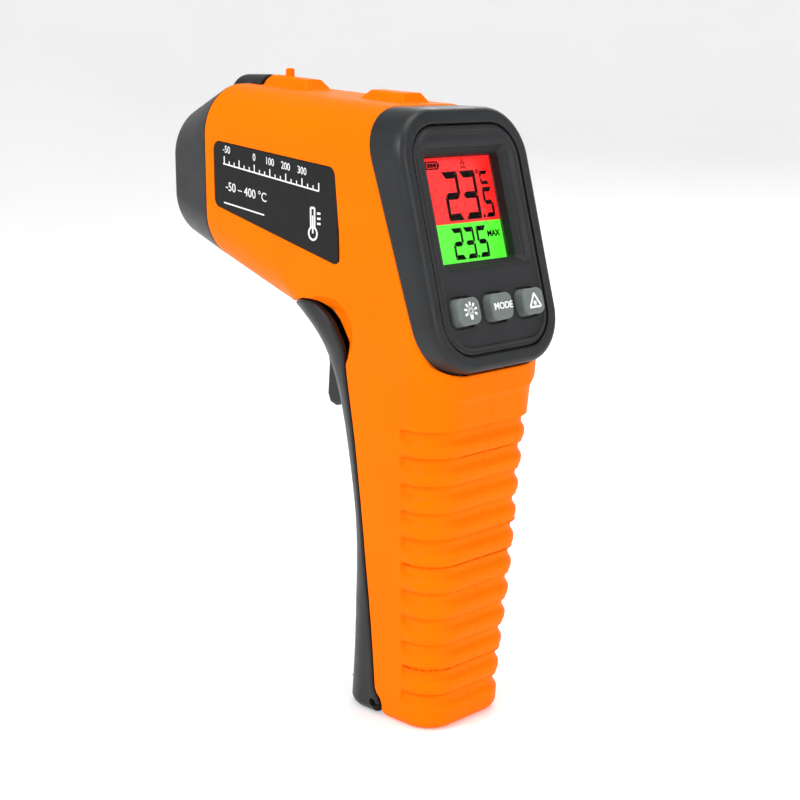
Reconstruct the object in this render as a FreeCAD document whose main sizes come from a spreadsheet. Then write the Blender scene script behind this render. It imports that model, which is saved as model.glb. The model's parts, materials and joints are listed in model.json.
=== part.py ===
import FreeCAD
import Part
import Sketcher
import math
import os
import re
from FreeCAD import Placement, Rotation, Vector

# Pistol-grip infrared thermometer, in millimetres.
# +Z is up, the nose points to -X, the display faces the user at +X, and the left side is at -Y.
# The origin is on the floor, under the middle of the whole thermometer's box.

X, Y, Z = Vector(1, 0, 0), Vector(0, 1, 0), Vector(0, 0, 1)

SIZES = {
    # display panel: its own frame has x down the panel, y across it and z out of it,
    # with the origin at the middle of the display window, on the panel's face
    "tilt": 15,
    "panel_x": 41.5,
    "panel_z": 126.2,
    "face_half": 21.5,
    "face_top": 22.6,
    "face_low": 37.4,
    "face_round": 12,
    "bezel_flare": 3,
    "bezel_deep": 10.5,
    "bezel_border": 3.6,
    "bezel_wall": 2.2,
    "edge_soft": 1.2,
    "parting_tilt": 19.1,
    "parting_gap": 9.2,
    "plate_sunk": 0.3,
    "plate_thick": 1.6,
    "seam": 0.3,
    "well_half": 14.25,
    "well_floor_half": 12.6,
    "well_deep": 5.2,
    "well_wall": 1.3,
    # keys
    "key_row": 23.6,
    "key_pitch": 11,
    "key_wide": 7.3,
    "key_tall": 6.3,
    "key_proud": 2.2,
    "key_stem": 3.9,
    "key_flange": 0.9,
    # display stack, as depths below the panel's face
    "window_top": 5.25,
    "window_low": 6.05,
    "lcd_low": 7.9,
    "light_top": 8.1,
    "light_low": 10.1,
    "board_top": 11.2,
    "board_low": 12.8,
    "board_half": 18,
    "board_up": 17,
    "board_down": 32.5,
    # casing
    "wall": 2,
    "front_x": -33.5,
    "mid_x": 5,
    "rear_x": 44,
    "nose_low": 108.2,
    "nose_high": 152.9,
    "nose_half": 19.6,
    "mid_low": 95.6,
    "mid_high": 149.9,
    "mid_half": 20.7,
    "rear_low": 84.8,
    "rear_high": 147.3,
    "rear_half": 21.5,
    "barrel_round": 12.5,
    "label_sunk": 0.6,
    "label_gap": 0.15,
    # grip ribs on the back of the handle
    "rib_count": 11,
    "rib_pitch": 6.2,
    "rib_top": 75.3,
    "rib_deep": 1.1,
    "rib_tall": 3.4,
    "rib_end": 34,
    # nose
    "tip_x": -50.9,
    "tip_low": 113,
    "tip_high": 146.5,
    "tip_half": 16.8,
    "tip_wall": 2.4,
    "optic_z": 129,
    "mouth_r": 11,
    "throat_r": 8,
    "lens_r": 8.6,
    "tube_r": 9.6,
    "laser_z": 149.8,
    "laser_r": 3.2,
    "hood_r": 5.4,
    "hood_tip": -42.3,
    "hood_rear": -30,
    # trigger
    "pivot_x": 1.5,
    "pivot_z": 105.2,
    "trigger_half": 5.2,
    "slot_half": 5.9,
    "pin_r": 1.25,
    "running": 0.05,
    # battery door
    "hinge_x": 21,
    "hinge_z": 3,
    "hinge_r": 1,
    "knuckle_r": 2.3,
    "door_wall": 1.8,
    "door_gap": 0.4,
    # batteries
    "cell_r": 5.25,
    "cell_x": 25.4,
    "cell_y": 5.75,
    "cell_low": 17.2,
    "cell_long": 43.7,
    "nub_tall": 0.8,
    "nub_r": 1.9,
    "holder_wall": 1.2,
    "holder_low": 10.4,
    "holder_high": 64.2,
    # screws
    "screw_r": 1.05,
    "screw_head_r": 2.3,
    "boss_r": 3,
}

# handle cross-sections: height, front, back, half width and corner radius
HANDLE = [
    (0, 8.7, 40.6, 14.3, 8),
    (14, 10.4, 41.4, 14.8, 8),
    (29, 11.9, 43.0, 15.7, 8.2),
    (48, 13.2, 44.2, 16.9, 8.4),
    (62, 12.2, 45.0, 17.8, 8.8),
    (77, 10.0, 46.5, 18.8, 9.4),
    (88, 6.4, 47.6, 19.6, 10.4),
    (97, 0.4, 48.4, 20.2, 11.6),
    (106, -5.5, 49.0, 20.6, 12.4),
]
COLUMNS = ("handle_z", "handle_front", "handle_back", "handle_half", "handle_round")
for level, numbers in enumerate(HANDLE):
    for word, number in zip(COLUMNS, numbers):
        SIZES[f"{word}_{level}"] = number

doc = FreeCAD.newDocument("infrared_thermometer")
sheet = doc.addObject("Spreadsheet::Sheet", "Dims")
for row, (alias, number) in enumerate(SIZES.items(), start=1):
    sheet.set(f"A{row}", alias)
    sheet.set(f"B{row}", str(number))
    sheet.setAlias(f"B{row}", alias)
doc.recompute()

nodes = []


# ---------------------------------------------------------------- sizes and bindings


def size(alias):
    return float(sheet.get(alias))


def formula(text):
    """An expression for FreeCAD, with each size's alias pointed at the sheet."""
    return re.sub(r"[a-z][a-z_]*[a-z_0-9]*", lambda m: linked(m.group()), str(text))


def linked(word):
    return f"Dims.{word}" if word in SIZES else word


def value(text):
    """The number that such an expression stands for."""
    return float(sheet.evalExpression(formula(text)))


def bind(thing, **properties):
    for name, text in properties.items():
        thing.setExpression(name.replace("__", "."), formula(text))
    return thing


def put(thing, x=0, y=0, z=0):
    return bind(thing, Placement__Base__x=x, Placement__Base__y=y, Placement__Base__z=z)


def node(thing, label):
    """Marks a finished sub-part. Its label names its file."""
    thing.Label = label
    nodes.append(thing)
    return thing


def turned(thing, angle, x, z):
    """The piece, turned about Y through its own origin, which then goes to (x, 0, z)."""
    holder = group(thing)
    holder.Placement = Placement(Vector(), Rotation(Y, value(angle)))
    bind(holder, Placement__Rotation__Angle=angle)
    return put(holder, x, 0, z)


def on_panel(thing):
    """Moves a piece from the display panel's own frame to its place."""
    return turned(thing, "90 - tilt", "panel_x", "panel_z")


# ---------------------------------------------------------------- simple solids


def box(x, y, z):
    """A box from three (low, high) pairs."""
    thing = doc.addObject("Part::Box", "Box")
    for side, (low, high) in zip(("Length", "Width", "Height"), (x, y, z)):
        bind(thing, **{side: f"({high}) - ({low})"})
    return put(thing, x[0], y[0], z[0])


TURNS = {"x": Rotation(Y, 90), "y": Rotation(X, -90), "z": Rotation()}


def along(thing, axis, centre, low):
    """Turns a round solid to an axis. centre holds the other two coordinates, in X, Y, Z order."""
    thing.Placement = Placement(Vector(), TURNS[axis])
    where = list(centre)
    where.insert("xyz".index(axis), low)
    return put(thing, *where)


def rod(axis, centre, span, radius):
    thing = doc.addObject("Part::Cylinder", "Rod")
    bind(thing, Radius=radius, Height=f"({span[1]}) - ({span[0]})")
    return along(thing, axis, centre, span[0])


def cone(axis, centre, span, low_radius, high_radius):
    thing = doc.addObject("Part::Cone", "Cone")
    bind(thing, Radius1=low_radius, Radius2=high_radius, Height=f"({span[1]}) - ({span[0]})")
    return along(thing, axis, centre, span[0])


def fuse(*shapes):
    if len(shapes) == 1:
        return shapes[0]
    thing = doc.addObject("Part::MultiFuse", "Fuse")
    thing.Shapes = list(shapes)
    return thing


def group(*shapes):
    """Identical loose pieces that share one node."""
    thing = doc.addObject("Part::Compound", "Group")
    thing.Links = list(shapes)
    return thing


def cut(base, *tools):
    thing = doc.addObject("Part::Cut", "Cut")
    thing.Base = base
    thing.Tool = fuse(*tools)
    return thing


def common(*shapes):
    thing = doc.addObject("Part::MultiCommon", "Common")
    thing.Shapes = list(shapes)
    return thing


def tube(axis, centre, span, outer, inner):
    return cut(rod(axis, centre, span, outer), rod(axis, centre, span, inner))


def filleted(base, radius, wanted):
    """Rounds the edges of base for which wanted(edge) is true."""
    doc.recompute()
    edges = base.Shape.Edges
    amount = value(radius)
    thing = doc.addObject("Part::Fillet", "Fillet")
    thing.Base = base
    thing.Edges = [(i, amount, amount) for i, e in enumerate(edges, start=1) if wanted(e)]
    return thing


def runs_along(direction):
    def wanted(edge):
        ends = edge.Vertexes
        if len(ends) < 2:
            return False
        step = ends[-1].Point - ends[0].Point
        return step.Length > 0.1 and abs(step.normalize().dot(direction)) > 0.99

    return wanted


# ---------------------------------------------------------------- sketched solids

PLANES = {"x": Rotation(Vector(1, 1, 1), 120), "y": Rotation(X, 90), "z": Rotation()}


def new_sketch(normal, level=0):
    """A sketch square to one axis. Its own axes are Y and Z, X and Z, or X and Y."""
    sketch = doc.addObject("Sketcher::SketchObject", "Sketch")
    sketch.Placement = Placement(Vector(), PLANES[normal])
    bind(sketch, **{f"Placement__Base__{normal}": level})
    return sketch


def name_size(sketch, constraint, name, text):
    sketch.renameConstraint(sketch.addConstraint(constraint), name)
    sketch.setExpression(f"Constraints.{name}", formula(text))


def rounded_section(normal, level, across, up, radius):
    """A rectangle with round corners, from two (low, high) pairs."""
    sketch = new_sketch(normal, level)
    (left, right), (low, high) = [[value(t) for t in pair] for pair in (across, up)]
    bend = value(radius)
    corners = [(right, low, -1, 1), (right, high, -1, -1), (left, high, 1, -1), (left, low, 1, 1)]
    centres = [Vector(x + dx * bend, y + dy * bend, 0) for x, y, dx, dy in corners]
    for turn, centre in enumerate(centres):
        start = math.pi / 2 * (turn - 1)
        out = Vector(math.cos(start), math.sin(start), 0) * bend
        circle = Part.Circle(centre, Z, bend)
        sketch.addGeometry(Part.LineSegment(centres[turn - 1] + out, centre + out), False)
        sketch.addGeometry(Part.ArcOfCircle(circle, start, start + math.pi / 2), False)
    rule = Sketcher.Constraint
    sketch.addConstraint([rule("Tangent", i, 2, (i + 1) % 8, 1) for i in range(8)])
    sketch.addConstraint([rule("Equal", 1, i) for i in (3, 5, 7)])
    sketch.addConstraint([rule("Horizontal", 0), rule("Vertical", 2)])
    sketch.addConstraint([rule("Horizontal", 4), rule("Vertical", 6)])
    name_size(sketch, rule("Radius", 1, bend), "bend", radius)
    name_size(sketch, rule("DistanceY", -1, 1, 0, 1, low), "low", up[0])
    name_size(sketch, rule("DistanceX", -1, 1, 2, 1, right), "right", across[1])
    name_size(sketch, rule("DistanceY", -1, 1, 4, 1, high), "high", up[1])
    name_size(sketch, rule("DistanceX", -1, 1, 6, 1, left), "left", across[0])
    return sketch


def loft(sections, ruled=False):
    thing = doc.addObject("Part::Loft", "Loft")
    thing.Sections = sections
    thing.Solid = True
    thing.Ruled = ruled
    return thing


def rounded_block(normal, span, across, up, radius):
    """A straight block with a rounded section."""
    sections = [rounded_section(normal, level, across, up, radius) for level in span]
    return loft(sections, ruled=True)


def outline(points):
    """A closed outline of straight edges in the X-Z plane, each corner tied to its coordinates."""
    sketch = new_sketch("y")
    spots = [Vector(value(x), value(z), 0) for x, z in points]
    rule = Sketcher.Constraint
    for i, spot in enumerate(spots):
        sketch.addGeometry(Part.LineSegment(spot, spots[(i + 1) % len(spots)]), False)
    for i, (x, z) in enumerate(points):
        sketch.addConstraint(rule("Coincident", i, 2, (i + 1) % len(spots), 1))
        name_size(sketch, rule("DistanceX", -1, 1, i, 1, spots[i].x), f"x{i}", x)
        name_size(sketch, rule("DistanceY", -1, 1, i, 1, spots[i].y), f"z{i}", z)
    return sketch


def prism(points, low, high):
    """The outline, swept across from y = low to y = high."""
    thing = doc.addObject("Part::Extrusion", "Prism")
    thing.Base = outline(points)
    thing.DirMode = "Custom"
    thing.Dir = Y
    thing.Solid = True
    return bind(thing, LengthFwd=high, LengthRev=f"-({low})")


# ---------------------------------------------------------------- free shapes


def free(shape, placement=None):
    thing = doc.addObject("Part::Feature", "Free")
    thing.Shape = shape
    if placement:
        thing.Placement = placement
    return thing


def coil(radius, wire, pitch, turns):
    """A helical spring of round wire along +Z, from z = 0."""
    path = Part.makeHelix(pitch, pitch * turns, radius)
    start = Part.Wire(Part.makeCircle(wire, Vector(radius, 0, 0), Y))
    return Part.Wire(path).makePipeShell([start], True, True)


def lead(points, radius):
    """A round wire along straight runs that are joined by tangent arcs."""
    spots = [Vector(*p) for p in points]
    edges, at = [], spots[0]
    for before, corner, after in zip(spots, spots[1:], spots[2:]):
        way_in = (corner - before).normalize()
        way_out = (after - corner).normalize()
        reach = 0.45 * min((corner - before).Length, (after - corner).Length)
        start, end = corner - way_in * reach, corner + way_out * reach
        inward = (way_out - way_in).normalize()
        half = way_in.getAngle(way_out) / 2
        bend = reach / math.tan(half)
        middle = corner + inward * (bend / math.cos(half) - bend)
        edges += [Part.LineSegment(at, start).toShape(), Part.Arc(start, middle, end).toShape()]
        at = end
    edges.append(Part.LineSegment(at, spots[-1]).toShape())
    ring = Part.Wire(Part.makeCircle(radius, spots[0], spots[1] - spots[0]))
    return Part.Wire(edges).makePipeShell([ring], True, True)


# ---------------------------------------------------------------- casing


def barrel(inset, front="front_x"):
    """The barrel's outer form, or the same form drawn in by inset."""
    sections = [
        rounded_section(
            "x",
            level,
            (f"-{half} + {inset}", f"{half} - ({inset})"),
            (f"{low} + {inset}", f"{high} - ({inset})"),
            f"barrel_round - ({inset})",
        )
        for level, low, high, half in (
            (front, "nose_low", "nose_high", "nose_half"),
            ("mid_x", "mid_low", "mid_high", "mid_half"),
            ("rear_x", "rear_low", "rear_high", "rear_half"),
        )
    ]
    return loft(sections)


def handle(inset):
    """The handle's outer form with its door closed, or the same form drawn in by inset."""
    sections = []
    for level in range(len(HANDLE)):
        height = f"handle_z_{level}" + (f" + {inset}" if level == 0 else "")
        sections.append(
            rounded_section(
                "z",
                height,
                (f"handle_front_{level} + {inset}", f"handle_back_{level} - ({inset})"),
                (f"-handle_half_{level} + {inset}", f"handle_half_{level} - ({inset})"),
                f"handle_round_{level} - ({inset})",
            )
        )
    return loft(sections)


def behind_parting(gap, low):
    """Everything on the display's side of the plane where the bezel meets the casing, from low upwards."""
    region = box((0, 60), (-40, 40), (low, 80))
    return turned(region, "-parting_tilt", f"panel_x - parting_gap + {gap}", "panel_z")


FRONT_RIDGE = [(-29.6, 146), (-29.6, 153.6), (-27, 155.2), (-16.6, 154.4), (-12.6, 150.6), (-12.6, 146)]
REAR_RIDGE = [(8.2, 145), (8.2, 149), (11.4, 151.6), (18.4, 151.1), (21.6, 148.4), (21.6, 145)]
LABEL = [(-29.8, 139.6), (14.4, 134.8), (16, 111.5), (-29.8, 122.4)]
DOOR_EDGE = [
    (24.4, -1),
    (24.2, 2),
    (21.8, 7.3),
    (21.2, 30),
    (20.2, 51),
    (19.2, 70),
    (17.8, 86),
    (17.9, 89.8),
    (17.5, 92.1),
    (16.6, 94.4),
    (15.4, 96.7),
    (14.2, 98.7),
    (12.2, 100.5),
    (10.1, 101.8),
    (8.3, 102.6),
    (6, 103),
    (3.9, 103),
    (1.8, 102.4),
    (-2, 101.5),
    (-5, 100.8),
    (-9, 99.6),
    (-14, 97.9),
    (-30, 90.4),
    (-30, -1),
]
BOSSES = [(35, 70), (31, 6.3), (-25, 115), (-3, 142.5)]


def ridge(points, half, soft):
    """A narrow raised spine along the top, with its long upper edges rounded."""
    block = prism(points, f"-{half}", half)
    top = max(z for _, z in points) - 3

    def upper_side(edge):
        middle = edge.valueAt((edge.FirstParameter + edge.LastParameter) / 2)
        return abs(abs(middle.y) - half) < 0.01 and middle.z > top

    return filleted(block, soft, upper_side)


def casing():
    front_ridge = ridge(FRONT_RIDGE, 4.7, 1.4)
    rear_ridge = ridge(REAR_RIDGE, 4, 1.2)
    sight = rod("z", (-22.9, 0), (150, 156.8), 1.1)
    outer = fuse(barrel("0"), handle("0"), front_ridge, rear_ridge, sight)
    hollow = fuse(barrel("wall", "front_x - 1"), handle("wall"))
    grooves = []
    for i in range(int(size("rib_count"))):
        top = f"rib_top - {i} * rib_pitch"
        grooves.append(box(("rib_end", 60), (-30, 30), (f"{top} - rib_tall", top)))
    ribs = cut(fuse(*grooves), handle("rib_deep"))
    recess = cut(prism(LABEL, -30, 30), barrel("label_sunk"))
    laser_way = rod("x", (0, "laser_z"), ("front_x - 1", -19), "laser_r + 0.4")
    hood_seat = rod("x", (0, "laser_z"), ("front_x - 1", "hood_rear + 0.2"), "hood_r + 0.1")
    slot = box((-11.5, 12), ("-slot_half", "slot_half"), (94, 109))
    door_zone = prism(DOOR_EDGE, -30, 30)
    knuckle_room = rod("y", ("hinge_x", "hinge_z"), (-30, 30), "hinge_z + 0.4")
    openings = (laser_way, hood_seat, slot, door_zone, knuckle_room, behind_parting(0, -40.3))
    shell = cut(outer, hollow, ribs, recess, *openings)

    lug = fuse(
        rod("y", ("hinge_x", "hinge_z"), (-2.5, 2.5), "knuckle_r"),
        box(("hinge_x", 27), (-2.5, 2.5), ("hinge_z - knuckle_r", "hinge_z + knuckle_r")),
        box((24.5, 28), (-2.5, 2.5), (0.5, 4)),
    )
    inside = fuse(barrel("wall - 0.8"), handle("wall - 0.8"))
    posts = [rod("y", spot, (-25, 25), "boss_r") for spot in BOSSES]
    sides = ((-25, "-slot_half"), ("slot_half", 25))
    pivot = [rod("y", ("pivot_x", "pivot_z"), span, "pin_r + 1.9") for span in sides]
    pegs = common(fuse(*posts, *pivot), inside)
    pin_bore = rod("y", ("pivot_x", "pivot_z"), (-9, 9), "pin_r")
    hinge_bore = rod("y", ("hinge_x", "hinge_z"), (-20, 20), "hinge_r")
    screw_ways = []
    for spot in BOSSES:
        screw_ways.append(rod("y", spot, (-7, 0), "screw_r"))
        screw_ways.append(rod("y", spot, (0, 7), "screw_r + 0.3"))
        screw_ways.append(rod("y", spot, (6, 30), "screw_head_r + 0.3"))
    return cut(fuse(shell, pegs, lug), pin_bore, hinge_bore, *screw_ways)


def casing_halves():
    whole = casing()
    node(common(whole, box((-60, 60), (-30, 0), (-5, 170))), "left_casing")
    node(common(whole, box((-60, 60), (0, 30), (-5, 170))), "right_casing")


def labels():
    plate = cut(common(prism(LABEL, -30, 30), barrel("label_gap")), barrel("label_sunk"))
    inner = [(x * 0.985 - 0.1, z - (0.35 if z > 130 else -0.35)) for x, z in LABEL]
    trimmed = common(plate, prism(inner, -30, 30))
    node(common(trimmed, box((-60, 60), (-30, -15), (100, 150))), "label_left")
    node(common(trimmed, box((-60, 60), (15, 30), (100, 150))), "label_right")


def casing_screws():
    screws = []
    for spot in BOSSES:
        head = rod("y", spot, (6, 7.6), "screw_head_r")
        cross = box((spot[0] - 0.3, spot[0] + 0.3), (7, 8), (spot[1] - 1.3, spot[1] + 1.3))
        bar = box((spot[0] - 1.3, spot[0] + 1.3), (7, 8), (spot[1] - 0.3, spot[1] + 0.3))
        screws.append(cut(fuse(head, rod("y", spot, (-6, 6), "screw_r - 0.05")), cross, bar))
    node(group(*screws), "casing_screws")


# ---------------------------------------------------------------- display


def bezel():
    def face(level, inset, flare):
        return rounded_section(
            "z",
            level,
            (f"-face_top - {flare} + {inset}", f"face_low - {inset}"),
            (f"-face_half + {inset}", f"face_half - {inset}"),
            f"face_round - {inset}",
        )

    sections = [face("-bezel_deep", 0, "bezel_flare"), face("-edge_soft", 0, 0.4), face(0, "edge_soft", 0)]
    hole = rounded_block(
        "z",
        (-20, 2),
        ("-face_top + bezel_border", "face_low - bezel_border"),
        ("-face_half + bezel_border", "face_half - bezel_border"),
        "face_round - bezel_border",
    )
    room = rounded_block(
        "z",
        (-20, "-plate_sunk - plate_thick - 1.2"),
        ("-face_top + bezel_wall", "face_low - bezel_wall"),
        ("-face_half + bezel_wall", "face_half - bezel_wall"),
        "face_round - bezel_wall",
    )
    bosses = [rod("z", spot, ("-board_top", -2.3), 1.6) for spot in BOARD_BOSSES]
    pilots = [rod("z", spot, ("-board_top - 1", -5), 0.8) for spot in BOARD_BOSSES]
    frame = cut(loft(sections, ruled=True), hole, room)
    return on_panel(cut(fuse(frame, *bosses), *pilots))


STRIPS = (-14.4, 13.2)
BOARD_BOSSES = [(-13, -16.8), (-13, 16.8), (30, -13), (30, 13)]


def bezel_trimmed():
    """The bezel, trimmed back to the casing's parting plane, with its screw bosses left whole."""
    node(common(bezel(), behind_trim()), "display_bezel")


def behind_trim():
    region = behind_parting(0.05, -70)
    posts = [rod("z", spot, ("-board_top", -2.3), 1.6) for spot in BOARD_BOSSES]
    return fuse(region, on_panel(fuse(*posts)))


def faceplate():
    plate = rounded_block(
        "z",
        ("-plate_sunk - plate_thick", "-plate_sunk"),
        ("-face_top + bezel_border + seam", "face_low - bezel_border - seam"),
        ("-face_half + bezel_border + seam", "face_half - bezel_border - seam"),
        "face_round - bezel_border - seam",
    )

    def square(level, half, bend):
        return rounded_section("z", level, (f"-({half})", half), (f"-({half})", half), bend)

    floor_outside = square("-well_deep", "well_floor_half + well_wall", 2)
    mouth_outside = square("-plate_sunk - 1", "well_half + well_wall", 2)
    floor_inside = square("-well_deep - 0.1", "well_floor_half", 1)
    mouth_inside = square("-plate_sunk + 0.1", "well_half", 1.4)
    well = loft([floor_outside, mouth_outside], ruled=True)
    space = loft([floor_inside, mouth_inside], ruled=True)
    holes = [key_block(i, "seam", ("-10", 5)) for i in (-1, 0, 1)]
    node(on_panel(cut(fuse(plate, well), space, *holes)), "display_faceplate")


def key_block(place, grow, span):
    """A rounded block where a key is. place is -1, 0 or 1, from left to right."""
    down = (f"key_row - 0.5 * key_tall - {grow}", f"key_row + 0.5 * key_tall + {grow}")
    middle = f"{place} * key_pitch"
    across = (f"{middle} - 0.5 * key_wide - {grow}", f"{middle} + 0.5 * key_wide + {grow}")
    return rounded_block("z", span, down, across, 1.6)


def keys():
    for place, label in ((-1, "key_light"), (0, "key_mode"), (1, "key_laser")):
        cap = key_block(place, 0, ("-key_stem", "key_proud"))
        under = "-plate_sunk - plate_thick - 0.15"
        flange = key_block(place, 0.9, (f"{under} - key_flange", under))
        node(on_panel(fuse(cap, flange)), label)


def display_stack():
    def layer(half, low, high, up=0, down=0):
        down_panel = (f"-({half}) - {up}", f"{half} + {down}")
        return box(down_panel, (f"-({half})", half), (f"-({low})", f"-({high})"))

    node(on_panel(layer("well_floor_half + 1.2", "window_low", "window_top")), "display_window")
    node(on_panel(layer("well_floor_half + 1", "lcd_low", "window_low + 0.1", 1, 1)), "lcd_glass")
    node(on_panel(layer("well_floor_half + 0.2", "light_low", "light_top")), "backlight_panel")
    frame = cut(
        layer("well_floor_half + 2.2", "board_top", "lcd_low - 1", 2, 2),
        layer("well_floor_half + 1.1", "lcd_low + 0.05", "lcd_low - 2", 1, 1),
        layer("well_floor_half + 0.3", 20, "lcd_low - 1"),
        *[box((x - 0.1, x + 1.3), (-11.7, 11.7), (-20, "-lcd_low + 0.1")) for x in STRIPS],
    )
    node(on_panel(frame), "lcd_frame")
    strips = [box((x, x + 1.2), (-11.5, 11.5), ("-board_top", "-lcd_low")) for x in STRIPS]
    node(on_panel(group(*strips)), "zebra_strips")


def display_board():
    board = box(("-board_up", "board_down"), ("-board_half", "board_half"), ("-board_low", "-board_top"))
    corners = filleted(board, 4, runs_along(Z))
    holes = [rod("z", spot, (-20, 0), 1) for spot in BOARD_BOSSES]
    node(on_panel(cut(corners, *holes)), "display_board")
    screws = []
    for spot in BOARD_BOSSES:
        head = rod("z", spot, ("-board_low - 1.2", "-board_low"), 1.6)
        screws.append(fuse(head, rod("z", spot, ("-board_low", -6), 0.78)))
    node(on_panel(group(*screws)), "board_screws")
    switches = []
    for place in (-1, 0, 1):
        centre = ("key_row", f"{place} * key_pitch")
        body = box(
            ("key_row - 2.6", "key_row + 2.6"),
            (f"{place} * key_pitch - 2.6", f"{place} * key_pitch + 2.6"),
            ("-board_top", "-board_top + 4.6"),
        )
        switches.append(fuse(body, rod("z", centre, ("-board_top + 4.6", "-key_stem - 0.8"), 1.7)))
    node(on_panel(group(*switches)), "key_switches")
    node(on_panel(cone("z", (-4, 0), ("-board_low - 1.6", "-board_low"), 4, 6.5)), "processor")
    can = rod("z", (14, -8), ("-board_low - 4", "-board_low"), 4.8)
    node(on_panel(cut(can, rod("z", (14, -8), (-30, "-board_low - 3"), 1))), "buzzer")


# ---------------------------------------------------------------- nose and optics


def nose_cap():
    def form(inset, rear, tip):
        sections = [
            rounded_section(
                "x",
                level,
                (f"-{half} + {inset}", f"{half} - ({inset})"),
                (f"{low} + {inset}", f"{high} - ({inset})"),
                f"barrel_round - ({inset})",
            )
            for level, low, high, half in (
                (tip, "tip_low", "tip_high", "tip_half"),
                (rear, "nose_low", "nose_high", "nose_half"),
            )
        ]
        return loft(sections, ruled=True)

    hood = rod("x", (0, "laser_z"), ("hood_tip", "hood_rear"), "hood_r")
    hood = filleted(hood, 3.4, lambda e: abs(e.BoundBox.XMax - size("hood_tip")) < 0.01)
    shell = cut(
        fuse(form("0", "front_x - 0.05", "tip_x"), hood),
        form("wall", "front_x", "tip_x + tip_wall"),
        cone("x", (0, "optic_z"), ("tip_x - 0.1", "tip_x + tip_wall + 0.1"), "mouth_r + 1.2", "mouth_r"),
        rod("x", (0, "laser_z"), ("hood_tip + 2", "hood_rear + 1"), "laser_r + 0.1"),
        rod("x", (0, "laser_z"), ("hood_tip - 1", 0), 1.9),
        box(("front_x", 0), (-20, 20), (100, "laser_z")),
    )
    node(shell, "nose_cap")


def optics():
    axis = (0, "optic_z")
    shroud = cut(
        cone("x", axis, (-47.9, -39.3), "mouth_r + 0.4", "throat_r + 1.2"),
        cone("x", axis, (-48, -39.2), "mouth_r - 0.8", "throat_r - 0.1"),
    )
    node(shroud, "lens_shroud")
    ring = tube("x", axis, (-39.3, -38.1), "tube_r", "throat_r")
    node(ring, "lens_ring")
    dome = doc.addObject("Part::Sphere", "Dome")
    bind(dome, Radius=40)
    put(dome, 1.1, 0, "optic_z")
    lens = common(rod("x", axis, (-39, -35.7), "lens_r - 0.1"), dome)
    node(lens, "ir_lens")
    barrel_tube = cut(
        rod("x", axis, (-38.1, -18), "tube_r"),
        rod("x", axis, (-40, -35.6), "lens_r"),
        rod("x", axis, (-36, -17), "throat_r - 0.4"),
    )
    node(barrel_tube, "lens_barrel")
    block = cut(rod("x", axis, (-18, -12.5), "tube_r - 0.2"), rod("x", axis, (-19, -12), 4.75))
    pilots = [rod("x", (y, "optic_z"), (-16, -12), 0.75) for y in (-7, 7)]
    node(cut(block, *pilots), "sensor_holder")
    can = fuse(rod("x", axis, (-17.5, -13.2), 4.1), rod("x", axis, (-13.2, -12.5), 4.7))
    legs = [rod("x", (y, f"optic_z + {z}"), (-12.6, -10), 0.22) for y in (-1.8, 1.8) for z in (-1.8, 1.8)]
    node(cut(fuse(can, *legs), rod("x", axis, (-18, -17.2), 1.8)), "thermopile")
    board = box((-12.5, -10.9), (-9.5, 9.5), ("optic_z - 9.5", "optic_z + 9.5"))
    holes = [rod("x", (y, "optic_z"), (-20, 0), 0.9) for y in (-7, 7)]
    leg_holes = [rod("x", (y, f"optic_z + {z}"), (-14, -10), 0.3) for y in (-1.8, 1.8) for z in (-1.8, 1.8)]
    node(cut(board, *holes, *leg_holes), "sensor_board")
    screws = [
        fuse(rod("x", (y, "optic_z"), (-15.8, -10.9), 0.72), rod("x", (y, "optic_z"), (-10.9, -9.8), 1.6))
        for y in (-7, 7)
    ]
    node(group(*screws), "sensor_screws")


def laser():
    axis = (0, "laser_z")
    module = cut(rod("x", axis, ("hood_tip + 2.1", -22), "laser_r"), rod("x", axis, (-60, -37), 1.7))
    node(module, "laser_module")
    node(rod("x", axis, (-38.6, -37), 1.65), "laser_lens")


# ---------------------------------------------------------------- trigger


TRIGGER = [
    (-7.9, 101.2),
    (-6.2, 92),
    (-4.2, 84),
    (-5.4, 75),
    (-3.4, 72.7),
    (1, 73.6),
    (4.6, 80),
    (7.4, 88),
    (7.4, 93),
    (5.4, 108),
    (-1.8, 108.4),
]


def trigger():
    blade = filleted(prism(TRIGGER, "-trigger_half", "trigger_half"), 1.1, outer_trigger_edge)
    bore = rod("y", ("pivot_x", "pivot_z"), (-8, 8), "pin_r + running")
    node(cut(blade, bore), "trigger")
    node(rod("y", ("pivot_x", "pivot_z"), (-9, 9), "pin_r"), "trigger_pin")
    turn = Placement(Vector(6.3, 0, 83), Rotation(Y, 90))
    node(free(coil(1.9, 0.25, 1.5, 5), turn), "trigger_spring")
    node(box((14.4, 16), (-7, 7), (79, 99)), "trigger_board")
    body = box((11.1, 14.4), (-3, 3), (87, 93))
    node(fuse(body, rod("x", (0, 90), (10.1, 11.1), 1.6)), "trigger_switch")


def outer_trigger_edge(edge):
    middle = edge.valueAt((edge.FirstParameter + edge.LastParameter) / 2)
    return abs(abs(middle.y) - size("trigger_half")) < 0.01 and middle.x < 0 and middle.z < 100


# ---------------------------------------------------------------- battery compartment


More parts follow.
